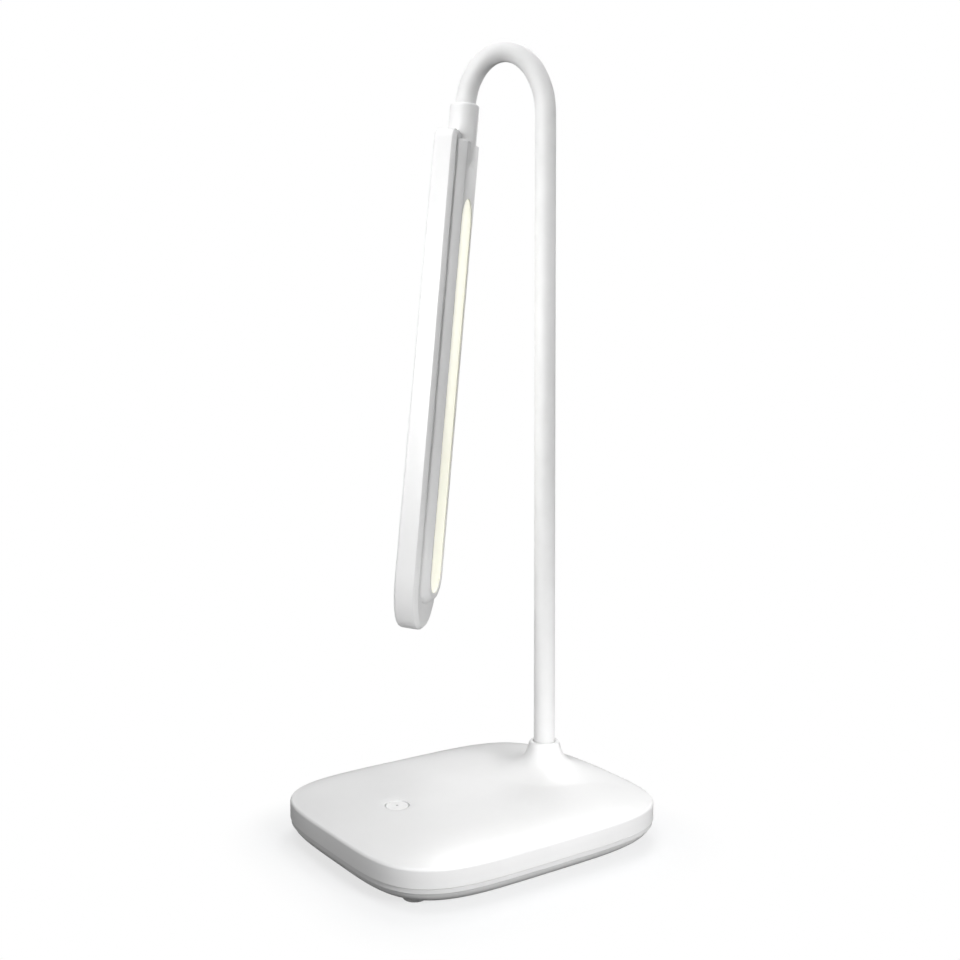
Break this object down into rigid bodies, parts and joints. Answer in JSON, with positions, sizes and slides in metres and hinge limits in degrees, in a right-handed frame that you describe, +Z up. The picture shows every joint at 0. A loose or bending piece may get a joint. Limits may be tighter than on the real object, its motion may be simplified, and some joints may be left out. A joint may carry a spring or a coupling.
{
  "type": "folding desk lamp",
  "caption": "Desk lamp with a weighted base, push button, upright post and a bendable neck that folds a slim rectangular light head down beside the post.",
  "frame": {"origin": "on the table, under the centre of the base", "axes": "+Z up, -Y towards the button at the front, +X to the right seen from the front"},
  "size_m": [0.1418, 0.1628, 0.4089],
  "materials": {
    "white_cover": "satin white moulding",
    "white_under": "satin white moulding",
    "soft_sleeve": "matt white soft sleeve",
    "foot_rubber": "matt grey",
    "plated_steel": "plain plated steel",
    "ballast_steel": "bare steel plate",
    "brass_bushing": "turned brass",
    "circuit_board": "green lacquered board",
    "switch_black": "black moulding",
    "cell_wrap": "silver-grey wrap",
    "lead_grey": "matt grey insulation",
    "lens_grey": "clear grey lens",
    "diffuser_opal": "warm opal, satin",
    "reflector_white": "bright white",
    "led_yellow": "yellow phosphor"
  },
  "bodies": {
    "base": {"base_top_cover": "white_cover", "base_bottom_cover": "white_under", "foot_pads": "foot_rubber", "base_screws": "plated_steel", "ballast_plate": "ballast_steel", "battery": "cell_wrap", "control_board": "circuit_board", "board_screws": "plated_steel", "push_switch": "switch_black", "charging_socket": "plated_steel", "neck_bushing": "brass_bushing"},
    "button": {"power_button": "white_cover", "button_lens": "lens_grey"},
    "neck": {"neck_ferrule": "plated_steel", "neck_washer": "plated_steel", "neck_nut": "plated_steel", "post_tube": "plated_steel", "post_sleeve": "soft_sleeve", "post_lead": "lead_grey", "post_end_plug": "plated_steel", "arch_sleeve": "soft_sleeve"},
    "link_1": {"neck_link_1": "plated_steel"},
    "link_2": {"neck_link_2": "plated_steel"},
    "link_3": {"neck_link_3": "plated_steel"},
    "link_4": {"neck_link_4": "plated_steel"},
    "link_5": {"neck_link_5": "plated_steel"},
    "link_6": {"neck_link_6": "plated_steel"},
    "link_7": {"neck_link_7": "plated_steel"},
    "head": {"socket_plug": "plated_steel", "neck_socket": "white_cover", "socket_screws": "plated_steel", "head_back_cover": "white_cover", "head_face_cover": "white_cover", "diffuser": "diffuser_opal", "reflector_tray": "reflector_white", "led_board": "circuit_board", "leds": "led_yellow", "led_board_screws": "plated_steel"}
  },
  "joints": [
    {"name": "button_press", "type": "slide", "parent": "base", "child": "button", "axis": [0, 0, 1], "range_m": [-0.0008, 0], "stiffness_N_per_m": 800, "springref_m": 0.0006},
    {"name": "neck_swivel", "type": "hinge", "parent": "base", "child": "neck", "pos_m": [0, 0.0473, 0.023], "axis": [0, 0, 1], "range_deg": [-38, 142]},
    {"name": "neck_bend_1", "type": "hinge", "parent": "neck", "child": "link_1", "pos_m": [0, 0.0473, 0.3785], "axis": [0.6157, -0.788, 0], "range_deg": [-21.5, 0.6], "deforming": ["arch_sleeve"]},
    {"name": "neck_bend_2", "type": "hinge", "parent": "link_1", "child": "link_2", "pos_m": [-0.00461, 0.0437, 0.39309], "axis": [0.6157, -0.788, 0], "range_deg": [-21.5, 0.6], "deforming": ["arch_sleeve"]},
    {"name": "neck_bend_3", "type": "hinge", "parent": "link_2", "child": "link_3", "pos_m": [-0.0101, 0.03941, 0.40038], "axis": [0.6157, -0.788, 0], "range_deg": [-21.5, 0.6], "deforming": ["arch_sleeve"]},
    {"name": "neck_bend_4", "type": "hinge", "parent": "link_3", "child": "link_4", "pos_m": [-0.01507, 0.03553, 0.40325], "axis": [0.6157, -0.788, 0], "range_deg": [-21.5, 0.6], "deforming": ["arch_sleeve"]},
    {"name": "neck_bend_5", "type": "hinge", "parent": "link_4", "child": "link_5", "pos_m": [-0.01963, 0.03196, 0.40351], "axis": [0.6157, -0.788, 0], "range_deg": [-21.5, 0.6], "deforming": ["arch_sleeve"]},
    {"name": "neck_bend_6", "type": "hinge", "parent": "link_5", "child": "link_6", "pos_m": [-0.02419, 0.0284, 0.40149], "axis": [0.6157, -0.788, 0], "range_deg": [-21.5, 0.6], "deforming": ["arch_sleeve"]},
    {"name": "neck_bend_7", "type": "hinge", "parent": "link_6", "child": "link_7", "pos_m": [-0.02925, 0.02445, 0.39589], "axis": [0.6157, -0.788, 0], "range_deg": [-21.5, 0.6], "deforming": ["arch_sleeve"]},
    {"name": "neck_bend_8", "type": "hinge", "parent": "link_7", "child": "head", "pos_m": [-0.03405, 0.02069, 0.38395], "axis": [0.6157, -0.788, 0], "range_deg": [-21.5, 0.6], "deforming": ["arch_sleeve"]}
  ],
  "couplings": [
    {"joint": "neck_bend_1", "follows": "neck_bend_8", "ratio": 1},
    {"joint": "neck_bend_2", "follows": "neck_bend_8", "ratio": 1},
    {"joint": "neck_bend_3", "follows": "neck_bend_8", "ratio": 1},
    {"joint": "neck_bend_4", "follows": "neck_bend_8", "ratio": 1},
    {"joint": "neck_bend_5", "follows": "neck_bend_8", "ratio": 1},
    {"joint": "neck_bend_6", "follows": "neck_bend_8", "ratio": 1},
    {"joint": "neck_bend_7", "follows": "neck_bend_8", "ratio": 1}
  ]
}
